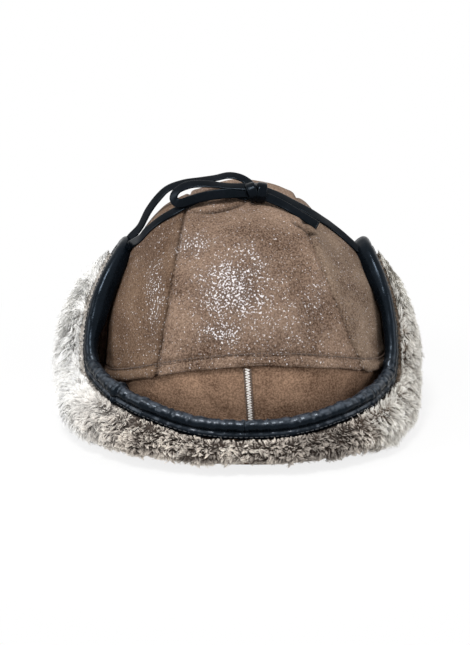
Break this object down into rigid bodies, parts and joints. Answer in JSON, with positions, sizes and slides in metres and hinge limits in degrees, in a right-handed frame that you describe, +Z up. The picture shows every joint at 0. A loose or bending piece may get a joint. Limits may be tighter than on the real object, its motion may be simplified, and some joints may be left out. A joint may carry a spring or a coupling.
{
  "type": "trapper hat",
  "caption": "Leather trapper hat with a sewn crown, a turned-up fur band bound in black leather, folding ear, brow and neck flaps, and laces tied in a bow on top.",
  "frame": {"origin": "on the table under the middle of the hat", "axes": "+Z up, -Y towards the brow, +X to the right as seen from the brow"},
  "size_m": [0.2446, 0.2768, 0.1575],
  "materials": {
    "brown_leather": "worn nappa, satin to glossy in patches",
    "band_leather": "matte suede side",
    "black_leather": "glossy",
    "cream_pile": "short wool pile",
    "grey_fur": "long fur"
  },
  "bodies": {
    "crown": {"crown_centre_panel": "brown_leather", "crown_left_panel": "brown_leather", "crown_right_panel": "brown_leather", "crown_centre_pile": "cream_pile", "crown_left_pile": "cream_pile", "crown_right_pile": "cream_pile", "band_root_skin_left": "band_leather", "band_root_skin_right": "band_leather", "band_root_pile_left": "cream_pile", "band_root_pile_right": "cream_pile", "brow_left_corner_skin": "band_leather", "brow_left_corner_fur": "grey_fur", "brow_left_corner_binding": "black_leather", "brow_right_corner_skin": "band_leather", "brow_right_corner_fur": "grey_fur", "brow_right_corner_binding": "black_leather", "neck_left_corner_skin": "band_leather", "neck_left_corner_fur": "grey_fur", "neck_left_corner_binding": "black_leather", "neck_right_corner_skin": "band_leather", "neck_right_corner_fur": "grey_fur", "neck_right_corner_binding": "black_leather"},
    "left_ear_flap": {"left_ear_skin": "band_leather", "left_ear_fur": "grey_fur", "left_ear_binding": "black_leather"},
    "right_ear_flap": {"right_ear_skin": "band_leather", "right_ear_fur": "grey_fur", "right_ear_binding": "black_leather"},
    "brow_flap": {"brow_skin_left": "band_leather", "brow_skin_right": "band_leather", "brow_fur": "grey_fur", "brow_binding": "black_leather"},
    "neck_flap": {"neck_skin_left": "band_leather", "neck_skin_right": "band_leather", "neck_fur": "grey_fur", "neck_binding": "black_leather"},
    "left_laces": {"left_lace_lower": "black_leather", "left_lace_upper": "black_leather", "bow_loop": "black_leather"},
    "right_laces": {"right_lace": "black_leather", "bow_tail": "black_leather", "bow_knot": "black_leather"}
  },
  "joints": [
    {"name": "left_ear_fold", "type": "hinge", "parent": "crown", "child": "left_ear_flap", "pos_m": [-0.093, 0.001, 0], "axis": [0, -1, 0], "range_deg": [0, 160]},
    {"name": "right_ear_fold", "type": "hinge", "parent": "crown", "child": "right_ear_flap", "pos_m": [0.0995, 0.001, 0], "axis": [0, 1, 0], "range_deg": [0, 160]},
    {"name": "brow_fold", "type": "hinge", "parent": "crown", "child": "brow_flap", "pos_m": [0.005, -0.111, 0], "axis": [1, 0, 0], "range_deg": [0, 160]},
    {"name": "neck_fold", "type": "hinge", "parent": "crown", "child": "neck_flap", "pos_m": [0.005, 0.112, 0], "axis": [-1, 0, 0], "range_deg": [0, 160]},
    {"name": "left_lace_swing", "type": "hinge", "parent": "left_ear_flap", "child": "left_laces", "pos_m": [-0.0697, 0, 0.113], "axis": [0, -1, 0], "range_deg": [0, 75]},
    {"name": "right_lace_swing", "type": "hinge", "parent": "right_ear_flap", "child": "right_laces", "pos_m": [0.0775, -0.0092, 0.1077], "axis": [0, 1, 0], "range_deg": [0, 75]}
  ],
  "couplings": [
    {"joint": "left_lace_swing", "follows": "left_ear_fold", "ratio": 0.45},
    {"joint": "right_lace_swing", "follows": "right_ear_fold", "ratio": 0.45}
  ]
}
